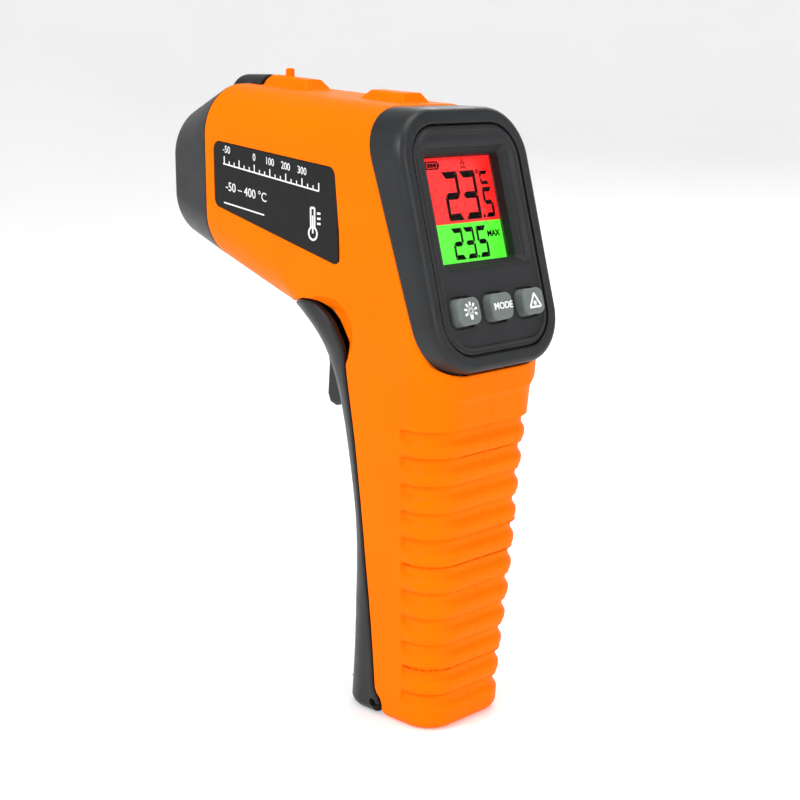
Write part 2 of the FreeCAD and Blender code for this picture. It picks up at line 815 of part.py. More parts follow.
def battery_door():
    gap = size("door_gap")
    zone = prism([(x - gap, z - gap) for x, z in DOOR_EDGE[:-1]] + [(-30, -5)], -30, 30)
    shell = cut(
        common(handle("0"), zone),
        handle("door_wall"),
        box((-40, 40), ("-slot_half - 0.4", "slot_half + 0.4"), (70.5, 120)),
        rod("y", ("pivot_x", "pivot_z"), (-40, 40), "pin_r + 2.3"),
        box(("hinge_x", 30), (-40, 40), (-5, "hinge_z")),
        box(("hinge_x - knuckle_r - 0.8", 30), (-2.9, 2.9), (-5, 8)),
    )
    knuckles = [
        fuse(
            rod("y", ("hinge_x", "hinge_z"), span, "knuckle_r"),
            box(("hinge_x - 9", "hinge_x"), span, ("hinge_z - knuckle_r", "hinge_z - 1.2")),
        )
        for span in ((-9, -2.9), (2.9, 9))
    ]
    bore = rod("y", ("hinge_x", "hinge_z"), (-12, 12), "hinge_r + running")
    node(cut(fuse(shell, *knuckles), bore), "battery_door")
    node(rod("y", ("hinge_x", "hinge_z"), (-9.4, 9.4), "hinge_r"), "hinge_pin")


def battery_holder():
    front, back = "cell_x - cell_r", "cell_x + cell_r"
    inside = ("holder_low + holder_wall", "holder_high - holder_wall")
    tray = cut(
        box((f"{front} - holder_wall", f"{back} + 2.2"), (-11.9, 11.9), ("holder_low", "holder_high")),
        *[box((0, f"{back} + 0.4"), bay, inside) for bay in ((-11.1, -0.4), (0.4, 11.1))],
    )
    node(tray, "battery_holder")


def cell(side, upright):
    centre = ("cell_x", f"{side} * cell_y")
    low, high = "cell_low", "cell_low + cell_long"
    nub = (high, f"{high} + nub_tall") if upright else (f"{low} - nub_tall", low)
    can = filleted(rod("z", centre, (low, high), "cell_r - 0.05"), 0.6, lambda e: len(e.Vertexes) == 1)
    return fuse(can, rod("z", centre, nub, "nub_r"))


def leaf(side, low, high, thick):
    """A spring strip, folded back on itself, between a contact plate and the flat end of a cell."""
    middle, across = (low + high) / 2, side * size("cell_y")
    strip = [
        (21.6, low),
        (29, middle - thick / 2),
        (29, middle + thick / 2),
        (21.6, high),
        (21.6, high - thick),
        (28, middle),
        (21.6, low + thick),
    ]
    return prism(strip, across - 2.2, across + 2.2)


def batteries():
    node(cell(-1, True), "battery_left")
    node(cell(1, False), "battery_right")
    low = size("holder_low") + size("holder_wall")
    high = size("holder_high") - size("holder_wall")
    base, top = size("cell_low"), size("cell_low") + size("cell_long")
    springs = [leaf(-1, low + 0.6, base - 0.4, 0.35), leaf(1, top + 0.3, high - 0.6, 0.22)]
    node(group(*springs), "battery_springs")
    plates = [
        box((21, 29.8), (-10, -1.5), (low, low + 0.5)),
        box((21, 29.8), (1.5, 10), (base - 0.8 - 0.5, base - 0.8)),
        box((21, 29.8), (-10, -1.5), (top + 0.8, top + 1.3)),
        box((21, 29.8), (1.5, 10), (high - 0.5, high)),
    ]
    node(group(*plates), "battery_contacts")


def leads():
    supply = []
    for y in (-3, 3):
        route = [(33.4, y, 62), (39.6, y, 64), (40.5, y, 74), (38, 0.8 * y, 84), (30, 0.6 * y, 90)]
        supply.append(free(lead(route + [(26.5, 0.5 * y, 98)], 0.6)))
    node(group(*supply), "battery_leads")
    signal = []
    for y in (-3, -1, 1, 3):
        route = [(-9.4, y, 133), (0, y, 134), (10, y, 129), (19, y, 126)]
        signal.append(free(lead(route, 0.45)))
    node(group(*signal), "sensor_leads")
    beam = []
    for y in (-1.2, 1.2):
        route = [(-21.6, y, 148.9), (-13, y + 4, 144), (-4, y + 6, 135), (7, y + 6, 131)]
        beam.append(free(lead(route, 0.45)))
    node(group(*beam), "laser_leads")


def main():
    casing_halves()
    labels()
    casing_screws()
    bezel_trimmed()
    faceplate()
    keys()
    display_stack()
    display_board()
    nose_cap()
    optics()
    laser()
    trigger()
    battery_door()
    battery_holder()
    batteries()
    leads()
    doc.recompute()
    failed = [o.Name for o in doc.Objects if "Invalid" in o.State or "Error" in o.State]
    if failed:
        raise SystemExit(f"these objects failed: {failed}")
    os.makedirs("parts", exist_ok=True)
    for thing in nodes:
        shape = thing.Shape
        if shape.isNull() or not shape.isValid() or not shape.Solids:
            raise SystemExit(f"{thing.Label} has no valid solid")
        whole = shape.Solids[0] if len(shape.Solids) == 1 else shape
        whole.exportStep(f"parts/{thing.Label}.step")
        print(thing.Label, len(shape.Solids), round(shape.Volume / 1000, 2), "cm3")


main()
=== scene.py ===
import json
import math

import bmesh
import bpy
import numpy as np
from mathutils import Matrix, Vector


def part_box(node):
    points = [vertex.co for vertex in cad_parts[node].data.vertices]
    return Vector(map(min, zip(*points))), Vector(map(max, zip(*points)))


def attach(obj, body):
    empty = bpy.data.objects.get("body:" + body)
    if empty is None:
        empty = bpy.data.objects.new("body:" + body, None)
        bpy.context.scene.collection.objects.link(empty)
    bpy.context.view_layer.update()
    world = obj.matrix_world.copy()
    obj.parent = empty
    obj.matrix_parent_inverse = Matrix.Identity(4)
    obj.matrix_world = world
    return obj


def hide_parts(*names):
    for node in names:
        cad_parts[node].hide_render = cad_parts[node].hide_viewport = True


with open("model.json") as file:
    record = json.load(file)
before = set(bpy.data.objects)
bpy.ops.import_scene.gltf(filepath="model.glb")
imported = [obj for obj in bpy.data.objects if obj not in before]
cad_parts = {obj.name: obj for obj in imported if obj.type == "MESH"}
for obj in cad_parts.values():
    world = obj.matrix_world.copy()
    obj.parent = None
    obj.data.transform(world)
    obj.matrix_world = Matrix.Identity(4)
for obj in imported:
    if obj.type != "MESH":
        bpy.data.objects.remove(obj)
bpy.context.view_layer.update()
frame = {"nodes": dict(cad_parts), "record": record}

# Pistol-grip infrared thermometer. Forms are worked out in millimetres in the frame shared with the CAD:
# +Z up, nose to -X, display to +X, left side at -Y. Meshes are written in metres.

MM = 0.001

# ---------------------------------------------------------------- sizes shared with the frame

# The display panel leans by TILT. Its own frame starts at PANEL: u runs down it, v across and w out of it.
TILT = math.radians(15)
PANEL = (41.5, 126.2)
PARTING = math.radians(19.1)
PARTING_X = PANEL[0] - 9.2
OPENING_U = 7.4
WELL_FLOOR = -5.2
LCD_TOP = -6.16
KEY_U = 23.6
KEY_STEP = 11
KEY_TOP = 2.2
NOSE_X = -33.5
TIP_X = -50.9
LASER_Z = 149.8
OPTIC_Z = 129.0
PIVOT = (1.5, 105.2)
HINGE = (21.0, 3.0)
BATTERY_X = 25.4
WALL = 2.0
LABEL_Y = 15

# The barrel's underside, top and half width at stations along X.
BARREL_X = (-33.5, 5.0, 44.0)
BARREL_LOW = (108.2, 95.6, 84.8)
BARREL_HIGH = (152.9, 149.9, 147.3)
BARREL_HALF = (19.6, 20.7, 21.5)
BARREL_ROUND = 12.5

# The grip's front, back, half width and corner radius at stations up Z.
GRIP_Z = (0, 14, 29, 48, 62, 77, 88, 97, 106)
GRIP_FRONT = (8.7, 10.4, 11.9, 13.2, 12.2, 10.0, 6.4, 0.4, -7.0)
GRIP_BACK = (40.6, 41.4, 43.0, 44.2, 45.0, 46.5, 47.6, 48.4, 49.0)
GRIP_HALF = (14.3, 14.8, 15.7, 16.9, 17.8, 18.8, 19.6, 20.2, 20.6)
GRIP_ROUND = (8.0, 8.0, 8.2, 8.4, 8.8, 9.4, 10.4, 11.6, 12.4)

RIB_TOP = 75.9
RIB_PITCH = 6.65
RIB_COUNT = 11
RIB_DEPTH = 1.1

# A ridge's sides lean in by RIDGE_LEAN for each millimetre up. They lie where |y| + RIDGE_LEAN * z equals the
# ridge's reach, and LEAN_LENGTH makes that sum a distance.
RIDGE_LEAN = 0.7
LEAN_LENGTH = 1.22
FRONT_REACH = 110.45
REAR_REACH = 108.9

# Outlines in the X-Z plane.
FRONT_RIDGE = [(-29.4, 140), (-29.4, 153.8), (-28.0, 155.1), (-13.8, 153.9), (-11.8, 151.2), (-11.8, 140)]
REAR_RIDGE = [(6, 140), (6, 149.3), (9.0, 151.8), (20.6, 151.1), (22.2, 148.5), (22.2, 140)]
LABEL = [(-27.6, 136.8), (-27.6, 124.9), (15.7, 114.5), (14.0, 132.4)]
DOOR_EDGE = [(24.4, -3), (24.2, 2), (21.8, 7.3), (21.2, 30), (20.2, 51), (19.2, 70), (17.8, 86),
             (17.9, 89.8), (17.5, 92.1), (16.6, 94.4), (15.4, 96.7), (14.2, 98.7), (12.2, 100.5),
             (10.1, 101.8), (8.3, 102.6), (6, 103), (3.9, 103), (1.8, 102.4), (-2, 101.5), (-5, 100.8),
             (-9, 99.6), (-14, 97.9), (-30, 90.4), (-30, -3)]
SCOOP = [(0, 100), (6, 103.2), (9, 104), (12.3, 104.3), (15.9, 103.9), (18.6, 102.5), (20.6, 100.2),
         (21.4, 97.4), (21.2, 94.4), (19.9, 91.5), (18.0, 88.6), (10, 90)]
BOSSES = [(35, 70), (31, 6.3), (-25, 115), (-3, 142.5)]
TRIGGER = [(-7.9, 101.2), (-6.4, 92), (-4.9, 84), (-5.6, 76), (-4.6, 73.6), (-2.4, 72.9), (1, 73.9),
           (4.6, 80), (7.4, 88), (7.4, 93), (5.4, 107.4), (-1.8, 107.8)]


def spline(levels, numbers):
    """A natural cubic spline through the numbers, as a function."""
    x, y = np.array(levels, float), np.array(numbers, float)
    h, n = np.diff(x), len(x)
    a, b = np.eye(n), np.zeros(n)
    for i in range(1, n - 1):
        a[i, i - 1 : i + 2] = h[i - 1], 2 * (h[i - 1] + h[i]), h[i]
        b[i] = 3 * ((y[i + 1] - y[i]) / h[i] - (y[i] - y[i - 1]) / h[i - 1])
    c = np.linalg.solve(a, b)
    fine = np.linspace(x[0], x[-1], 600)
    i = np.clip(np.searchsorted(x, fine) - 1, 0, n - 2)
    t = fine - x[i]
    slope = (y[i + 1] - y[i]) / h[i] - h[i] * (2 * c[i] + c[i + 1]) / 3
    curve = y[i] + slope * t + c[i] * t**2 + (c[i + 1] - c[i]) / (3 * h[i]) * t**3
    return lambda v: np.interp(v, fine, curve)


barrel_low, barrel_high, barrel_half = [spline(BARREL_X, v) for v in (BARREL_LOW, BARREL_HIGH, BARREL_HALF)]
grip_front, grip_back, grip_half, grip_round = [
    spline(GRIP_Z, v) for v in (GRIP_FRONT, GRIP_BACK, GRIP_HALF, GRIP_ROUND)
]

# ---------------------------------------------------------------- distance fields


def rounded(a, b, half_a, half_b, bend):
    """Distance to a rectangle with round corners."""
    qa, qb = np.abs(a) - half_a + bend, np.abs(b) - half_b + bend
    return np.hypot(np.maximum(qa, 0), np.maximum(qb, 0)) + np.minimum(np.maximum(qa, qb), 0) - bend


def meet(a, b, bend):
    """What lies in both, with the shared edge rounded."""
    return np.minimum(-bend, np.maximum(a, b)) + np.hypot(np.maximum(a + bend, 0), np.maximum(b + bend, 0))


def join(a, b, bend):
    """What lies in either, with the inner corner rounded."""
    return np.maximum(bend, np.minimum(a, b)) - np.hypot(np.maximum(bend - a, 0), np.maximum(bend - b, 0))


def less(a, b, bend):
    """The first without the second, with the shared edge rounded."""
    return meet(a, -b, bend)


def ease(v, low, high):
    """A smooth step from 0 to 1 between low and high."""
    t = np.clip((v - low) / (high - low), 0, 1)
    return t * t * (3 - 2 * t)


def polygon(x, z, points):
    """Distance to a polygon in the X-Z plane, negative inside."""
    x, z = np.broadcast_arrays(x, z)
    nearest, inside = np.full(x.shape, 1e9), np.zeros(x.shape, bool)
    for (ax, az), (bx, bz) in zip(points, points[1:] + points[:1]):
        ex, ez, wx, wz = bx - ax, bz - az, x - ax, z - az
        t = np.clip((wx * ex + wz * ez) / (ex * ex + ez * ez), 0, 1)
        nearest = np.minimum(nearest, (wx - ex * t) ** 2 + (wz - ez * t) ** 2)
        crosses = ((az <= z) != (bz <= z)) & ((wx * ez < wz * ex) == (ez > 0))
        inside ^= crosses
    return np.where(inside, -1, 1) * np.sqrt(nearest)


def panel_axes(x, z):
    """Down the display panel, and out of it."""
    dx, dz = x - PANEL[0], z - PANEL[1]
    return dx * math.sin(TILT) - dz * math.cos(TILT), dx * math.cos(TILT) + dz * math.sin(TILT)


def behind_parting(x, z):
    """Positive on the display's side of the plane where the bezel meets the casing."""
    return (x - PARTING_X) * math.cos(PARTING) + (z - PANEL[1]) * math.sin(PARTING)


def body_form(x, y, z):
    """The whole pistol form, without ribs, ridges or recesses."""
    barrel = np.maximum(np.maximum(barrel_low(x) - z, z - barrel_high(x)) / 1.02, x - 46)
    sides = np.maximum(grip_front(z) - x, x - grip_back(z))
    grip = np.maximum(sides, z - 125)
    outline = join(barrel, grip, 3.2)
    level = ease(z, 84, 108)
    half = grip_half(z) * (1 - level) + barrel_half(x) * level
    bend = grip_round(z) * (1 - level) + BARREL_ROUND * level
    return meet(meet(outline, np.abs(y) - half, bend), -z, 2.6)


def rib_depth(x, z):
    """How far the grip ribs cut in: a sharp step at the top, a floor, then a soft ramp to a round crest."""
    turn = (RIB_TOP - z) / RIB_PITCH
    part = turn - np.floor(turn)
    depth = ease(part, 0.0, 0.09) * (1 - ease(part, 0.3, 0.66))
    depth = depth + 0.3 * ease(part, 0.8, 1.0) * (turn < RIB_COUNT - 1)
    back = 0.057 * z
    return RIB_DEPTH * depth * ((turn > 0) & (turn < RIB_COUNT)) * ease(x, 30.3 + back, 31.4 + back)


def carved(outer, zone, depth):
    """The form with its surface lowered by depth inside the zone."""
    return np.maximum(outer, np.minimum(outer + depth, -zone))


def casing_form(x, y, z, side):
    """One half of the orange casing. side is -1 for the left and 1 for the right."""
    form = body_form(x, y, z)
    scooped = np.clip(-polygon(x, z, SCOOP), 0, 3.2)
    cut_in = rib_depth(x, z) + 0.3 * ease(scooped, 0, 0.35) + 0.75 * scooped
    outer = form + cut_in
    lean = (np.abs(y) + RIDGE_LEAN * z) / LEAN_LENGTH
    for outline, reach in ((FRONT_RIDGE, FRONT_REACH), (REAR_RIDGE, REAR_REACH)):
        outer = join(outer, meet(polygon(x, z, outline), lean - reach / LEAN_LENGTH, 0.6), 0.3)
    sight = meet(np.hypot(x + 22.9, y) - 1.1, z - 156.75, 0.5)
    outer = join(outer, np.maximum(sight, 150 - z), 0.3)
    outer = carved(outer, np.maximum(polygon(x, z, LABEL) - 2.3, LABEL_Y - np.abs(y)), 0.5)
    shell = np.maximum(outer, -(form + WALL + cut_in))
    posts = [np.hypot(x - px, z - pz) - 3 for px, pz in BOSSES]
    shell = np.minimum(shell, np.maximum(np.minimum.reduce(posts), form + cut_in + 1))
    laser = np.hypot(y, z - LASER_Z)
    hood = np.maximum(laser - 5.5, x + 29.8)
    bore = np.maximum(laser - 3.6, x + 19)
    slot = np.maximum(np.maximum(np.abs(y) - 5.9, np.abs(x - 0.25) - 11.75), np.abs(z - 101) - 9)
    shell = np.maximum(shell, -np.minimum(np.minimum(hood, bore), slot))
    shell = less(shell, polygon(x, z, DOOR_EDGE) - 0.1, 0.35)
    knuckle = np.hypot(x - HINGE[0], z - HINGE[1]) - 3.4
    shell = np.maximum(shell, -knuckle)
    if side > 0:
        for px, pz in BOSSES:
            across = np.hypot(x - px, z - pz)
            well = np.maximum(across - 2.6, 6 - y)
            shell = less(shell, np.minimum(well, across - 1.35), 0.25)
    u, w = panel_axes(x, z)
    room = np.minimum(bezel_side(u, y, w) - 0.4, u - 20)
    shell = less(shell, np.maximum(-0.06 - behind_parting(x, z), room), 0.3)
    shell = meet(shell, NOSE_X + 0.04 - x, 0.25)
    return meet(shell, 0.01 - side * y, 0.06)


def door_form(x, y, z):
    """The battery door: the grip's dark front, with an ear on each side and two hinge lugs at the bottom."""
    form = body_form(x, y, z)
    zone = polygon(x, z, DOOR_EDGE) + 0.2 + 0.35 * ease(x, 4, 12)
    shell = np.maximum(meet(form, zone, 0.7), -(form + 1.8))
    trigger_slot = np.maximum(np.abs(y) - 6.3, 70.5 - z)
    shell = less(shell, trigger_slot, 0.6)
    pin = np.hypot(x - HINGE[0], z - HINGE[1])
    lugs = np.abs(np.abs(y) - 5.95) - 3.05
    knuckle = np.maximum(pin - 2.3, lugs)
    arm = np.maximum(np.maximum(np.abs(x - 16.5) - 4.5, np.abs(z - 1.25) - 0.55), lugs)
    shell = np.maximum(shell, -np.maximum(HINGE[0] - x, z - HINGE[1]))
    shell = np.maximum(shell, -np.maximum(np.maximum(HINGE[0] - 3.1 - x, z - 8), np.abs(y) - 2.9))
    shell = np.minimum(shell, np.minimum(knuckle, arm))
    return np.maximum(shell, -(pin - 1.05))


def trigger_form(x, y, z):
    """The trigger's blade, with crowned sides and the pivot's bore."""
    blade = polygon(x, z, TRIGGER) + 0.2
    crown = np.abs(y) - 5.2 + 0.012 * (y * y)
    form = meet(blade, crown, 1.6)
    return np.maximum(form, -(np.hypot(x - PIVOT[0], z - PIVOT[1]) - 1.32))


def nose_form(x, y, z):
    """The dark cap at the front, with the lens recess, and the laser hood above it."""
    t = np.clip((x - TIP_X) / (NOSE_X - TIP_X), 0, 1)
    low, high = 113 - 4.8 * t, 146.5 + 6.4 * t
    half = 16.8 + 2.8 * t
    side = rounded(y, z - (low + high) / 2, half, (high - low) / 2, BARREL_ROUND)
    outer = meet(meet(side, TIP_X - x, 2.2), x - NOSE_X, 0.25)
    axis = np.hypot(y, z - OPTIC_Z)
    inner = np.maximum(side + 2.4, TIP_X + 2.4 - x)
    shell = np.maximum(outer, -np.maximum(inner, x - NOSE_X - 9))
    mouth = axis - (12.2 - 0.5 * (x - TIP_X))
    shell = less(shell, np.maximum(mouth, x - TIP_X - 2.6), 0.7)
    laser = np.hypot(y, z - LASER_Z)
    hood = meet(meet(laser - 5.4, -42.3 - x, 3.4), x + 30, 0.3)
    both = join(shell, hood, 1.2)
    both = np.where(x > NOSE_X + 0.05, np.maximum(hood, LASER_Z - z), both)
    both = np.maximum(both, -np.maximum(laser - 3.3, -40.3 - x))
    return less(both, laser - 1.9, 0.5)


def bezel_side(u, y, w):
    """Distance to the bezel's outline, which widens upward as it goes back."""
    top, low = -22.6 - np.clip(-w / 10.5, 0, 1.6) * 3, 37.4
    return rounded(u - (top + low) / 2, y, (low - top) / 2, 21.5 - 0.35 * ease(-w, 3, 0), 12)


def bezel_form(x, y, z):
    """The dark rim round the display, open in the middle for the faceplate."""
    u, w = panel_axes(x, z)
    outer = meet(bezel_side(u, y, w), w, 1.5)
    along = u - OPENING_U
    hole = rounded(along, y, 26.4, 17.9, 8.4)
    rim = less(outer, np.maximum(hole, -1.95 - w), 0.55)
    rim = np.maximum(rim, -rounded(along, y, 24.6, 16.1, 6.8))
    room = np.maximum(rounded(along, y, 27.8, 19.3, 9.8), w + 3.1)
    rim = np.maximum(rim, -room)
    return meet(rim, 0.05 - behind_parting(x, z), 0.3)


def window_well(u, y, w):
    """The well down to the display, with steep walls and a flared mouth."""
    rise = w - WELL_FLOOR
    flare = np.clip(w + 2.7, 0, 3) * 0.8
    tall, wide = 12.1 + 0.1 * rise + flare * 0.9, 12.3 + 0.1 * rise + flare
    return rounded(u, y - 0.3 - 0.12 * flare, tall, wide, 0.7 + 0.6 * flare)


def plate_form(x, y, z):
    """The faceplate inside the bezel, with the display's well and three holes for the keys."""
    u, w = panel_axes(x, z)
    side = rounded(u - OPENING_U, y, 26.1, 17.6, 8.1)
    bead = 0.55 * ease(side, -2.0, -1.5) * (1 - ease(side, -1.0, -0.5))
    plate = np.maximum(meet(side, w + 0.35 - bead, 0.4), -1.9 - w)
    half = 13.9 + 1.65 * (w - WELL_FLOOR) / 4.9
    tower = np.maximum(rounded(u, y, half, half, 3.2), np.maximum(WELL_FLOOR - w, w + 1))
    plate = less(np.minimum(plate, tower), window_well(u, y, w), 0.8)
    for at in (-1, 0, 1):
        plate = less(plate, rounded(u - KEY_U, y - KEY_STEP * at, 3.45, 3.95, 1.9), 0.35)
    return plate


def key_form(at):
    """The field of one key. at is its place in the row: -1, 0 or 1."""

    def form(x, y, z):
        u, w = panel_axes(x, z)
        a, b = u - KEY_U, y - KEY_STEP * at
        crown = w - KEY_TOP + 0.006 * (a * a + b * b)
        draft = 0.03 * (w + 1)
        cap = meet(rounded(a, b, 3.15 - draft, 3.65 - draft, 1.7), crown, 0.75)
        cap = np.maximum(cap, -3.9 - w)
        flange = np.maximum(rounded(a, b, 4.05, 4.55, 2.3), np.abs(w + 2.5) - 0.45)
        return np.minimum(cap, flange)

    return form


def label_form(side):
    """The field of the thin film on one side."""

    def form(x, y, z):
        base = body_form(x, y, z)
        film = np.maximum(base + 0.06, -(base + 0.45))
        film = meet(film, polygon(x, z, LABEL) - 2.2, 0.1)
        return np.maximum(film, LABEL_Y - side * y)

    return form


# ---------------------------------------------------------------- meshes from fields


def slope(field, p, reach=0.004):
    """The field's gradient at each point."""
    sides = []
    for axis in range(3):
        step = np.zeros(3)
        step[axis] = reach
        sides.append(field(*(p + step).T) - field(*(p - step).T))
    return np.stack(sides, 1) / (2 * reach)


def crossings(field, values, axes, axis, cell):
    """The grid edges along an axis that the surface cuts: their starts, the cuts, and which start inside."""
    inside = values < 0
    near = tuple(slice(0, -1) if i == axis else slice(1, -1) for i in range(3))
    far = tuple(slice(1, None) if i == axis else slice(1, -1) for i in range(3))
    at = np.argwhere(inside[near] != inside[far]) + [0 if i == axis else 1 for i in range(3)]
    ahead = at.copy()
    ahead[:, axis] += 1
    here, there = values[tuple(at.T)], values[tuple(ahead.T)]
    start = np.stack([axes[i][at[:, i]] for i in range(3)], 1)
    t = here / (here - there)
    low, high = np.zeros(len(t)), np.ones(len(t))
    for _ in range(5):
        spot = start.copy()
        spot[:, axis] += t * cell
        f = field(*spot.T)
        same = np.sign(f) == np.sign(here)
        low, high = np.where(same, t, low), np.where(same, high, t)
        t = np.clip(t - f / np.where(np.abs(there - here) < 1e-9, 1, there - here), low, high)
    spot = start.copy()
    spot[:, axis] += t * cell
    return at, spot, here < 0


PAIRS = ((0, 0), (0, 1), (0, 2), (1, 1), (1, 2), (2, 2))


def surface(field, low, high, cell):
    """Vertices and quads of the field's zero surface, with crisp edges kept (dual contouring)."""
    axes = [np.arange(a - 1.5 * cell, b + 2.5 * cell, cell) for a, b in zip(low, high)]
    shape = tuple(len(a) for a in axes)
    grid = [a.reshape([-1 if i == k else 1 for k in range(3)]) for i, a in enumerate(axes)]
    values = np.broadcast_to(field(*grid), shape)
    strides = np.array([shape[1] * shape[2], shape[2], 1])
    rows, terms, quads = [], [], []
    for axis in range(3):
        at, spot, starts_inside = crossings(field, values, axes, axis, cell)
        normal = slope(field, spot)
        normal /= np.maximum(np.linalg.norm(normal, axis=1, keepdims=True), 1e-9)
        reach = (normal * spot).sum(1)
        term = [normal[:, i] * normal[:, j] for i, j in PAIRS]
        term += [normal[:, i] * reach for i in range(3)]
        term += [spot[:, i] for i in range(3)] + [np.ones(len(spot))]
        b, c = strides[(axis + 1) % 3], strides[(axis + 2) % 3]
        base = at @ strides
        around = [base - b - c, base - c, base, base - b]
        rows += around
        terms += [np.stack(term, 1)] * 4
        quad = np.stack(around, 1)
        quads.append(np.where(starts_inside[:, None], quad, quad[:, ::-1]))
    rows, terms, quads = np.concatenate(rows), np.concatenate(terms), np.concatenate(quads)
    cells, index = np.unique(rows, return_inverse=True)
    total = np.stack([np.bincount(index, terms[:, k], len(cells)) for k in range(13)], 1)
    count = total[:, 12:13]
    centre = total[:, 9:12] / count
    xx, xy, xz, yy, yz, zz = total[:, :6].T
    matrix = np.stack([xx, xy, xz, xy, yy, yz, xz, yz, zz], 1).reshape(-1, 3, 3)
    right = total[:, 6:9] - np.einsum("nij,nj->ni", matrix, centre)
    matrix = matrix + np.eye(3) * (0.06 * count)[:, :, None]
    move = np.linalg.solve(matrix, right[:, :, None])[:, :, 0]
    spots = centre + np.clip(move, -0.75 * cell, 0.75 * cell)
    for _ in range(2):
        g = slope(field, spots)
        f = field(*spots.T)[:, None]
        shift = -f * g / np.maximum((g * g).sum(1, keepdims=True), 0.05)
        spots = spots + np.clip(shift, -0.3 * cell, 0.3 * cell)
    return spots, np.searchsorted(cells, quads)


def link(data, name):
    """An object with this data, linked to the scene."""
    piece = bpy.data.objects.new(name, data)
    bpy.context.scene.collection.objects.link(piece)
    return piece


def mesh_of(name, spots, faces):
    """A mesh from arrays of points in millimetres and of faces that all have as many corners."""
    mesh = bpy.data.meshes.new(name)
    mesh.vertices.add(len(spots))
    mesh.vertices.foreach_set("co", (spots * MM).astype(np.float32).ravel())
    size = faces.shape[1]
    mesh.loops.add(faces.size)
    mesh.loops.foreach_set("vertex_index", faces.astype(np.int32).ravel())
    mesh.polygons.add(len(faces))
    mesh.polygons.foreach_set("loop_start", np.arange(0, faces.size, size, dtype=np.int32))
    mesh.polygons.foreach_set("loop_total", np.full(len(faces), size, np.int32))
    mesh.update(calc_edges=True)
    mesh.validate()
    return mesh


def shade_by(mesh, field):
    """Sets each face corner's normal from the field, so that highlights are smooth and edges stay crisp."""
    mesh.polygons.foreach_set("use_smooth", np.ones(len(mesh.polygons), bool))
    spots = np.empty(len(mesh.vertices) * 3, np.float32)
    mesh.vertices.foreach_get("co", spots)
    spots = spots.reshape(-1, 3).astype(float) / MM
    corner = np.empty(len(mesh.loops), np.int32)
    mesh.loops.foreach_get("vertex_index", corner)
    centre, flat = np.empty(len(mesh.polygons) * 3, np.float32), np.empty(len(mesh.polygons) * 3, np.float32)
    mesh.polygons.foreach_get("center", centre)
    mesh.polygons.foreach_get("normal", flat)
    totals = np.empty(len(mesh.polygons), np.int32)
    mesh.polygons.foreach_get("loop_total", totals)
    middle = np.repeat(centre.reshape(-1, 3).astype(float) / MM, totals, axis=0)
    flat = np.repeat(flat.reshape(-1, 3), totals, axis=0)
    normal = slope(field, spots[corner] * 0.85 + middle * 0.15)
    normal /= np.maximum(np.linalg.norm(normal, axis=1, keepdims=True), 1e-9)
    off = (normal * flat).sum(1) < 0.5
    normal[off] = flat[off]
    mesh.normals_split_custom_set(normal.tolist())


def moulded(name, field, low, high, cell, keep):
    """A piece meshed from a field between two corners, then thinned to a share of its faces."""
    spots, quads = surface(field, low, high, cell)
    piece = link(mesh_of(name, spots, quads), name)
    thin = piece.modifiers.new("thin", "DECIMATE")
    thin.ratio = keep
    thin.use_collapse_triangulate = True
    bpy.context.view_layer.update()
    mesh = bpy.data.meshes.new_from_object(piece.evaluated_get(bpy.context.evaluated_depsgraph_get()))
    piece.modifiers.clear()
    piece.data = mesh
    shade_by(mesh, field)
    print(name, len(mesh.vertices), "vertices", len(mesh.polygons), "faces")
    return piece


MERGE = 1e-7
CREASE = math.radians(32)


def finish_edges(piece, merge=MERGE):
    """Merges doubled points, turns the faces outward and shades smooth up to the crease angle."""
    work = bmesh.new()
    work.from_mesh(piece.data)
    bmesh.ops.remove_doubles(work, verts=work.verts, dist=merge)
    bmesh.ops.recalc_face_normals(work, faces=work.faces)
    for face in work.faces:
        face.smooth = True
    for edge in work.edges:
        edge.smooth = len(edge.link_faces) < 2 or edge.calc_face_angle(0) < CREASE
    work.to_mesh(piece.data)
    work.free()


def built(name, spots, faces, merge=MERGE):
    """A linked piece from points in millimetres and faces."""
    mesh = bpy.data.meshes.new(name)
    mesh.from_pydata([tuple(MM * c for c in spot) for spot in spots], [], faces)
    piece = link(mesh, name)
    finish_edges(piece, merge)
    return piece


def bands(rows, around):
    """The faces between rows of points that go all the way round."""
    faces = []
    for i in range(rows - 1):
        for k in range(around):
            a, b = i * around + k, i * around + (k + 1) % around
            faces.append((a, b, b + around, a + around))
    return faces


def lathe(name, axis, centre, profile, around=96):
    """A turned piece from (along, radius) points about an axis, x or z, through centre."""
    spots = []
    for along, radius in profile:
        for k in range(around):
            turn = 2 * math.pi * k / around
            a, b = centre[0] + radius * math.cos(turn), centre[1] + radius * math.sin(turn)
            spots.append((along, a, b) if axis == "x" else (a, b, along))
    return built(name, spots, bands(len(profile), around), 0.0005 * MM)


# ---------------------------------------------------------------- materials


# Most of a noise texture's values lie between these two.
NOISE_LOW = 0.3
NOISE_HIGH = 0.7


def nodes_of(name):
    """A new material, with its node tree, its shader and the object's own coordinates."""
    made = bpy.data.materials.new(name)
    made.use_nodes = True
    tree = made.node_tree
    where = tree.nodes.new("ShaderNodeTexCoord").outputs["Object"]
    return made, tree, tree.nodes["Principled BSDF"], where


def noise(tree, where, scale, detail):
    texture = tree.nodes.new("ShaderNodeTexNoise")
    texture.inputs["Scale"].default_value = scale
    texture.inputs["Detail"].default_value = detail
    tree.links.new(where, texture.inputs["Vector"])
    return texture.outputs["Fac"]


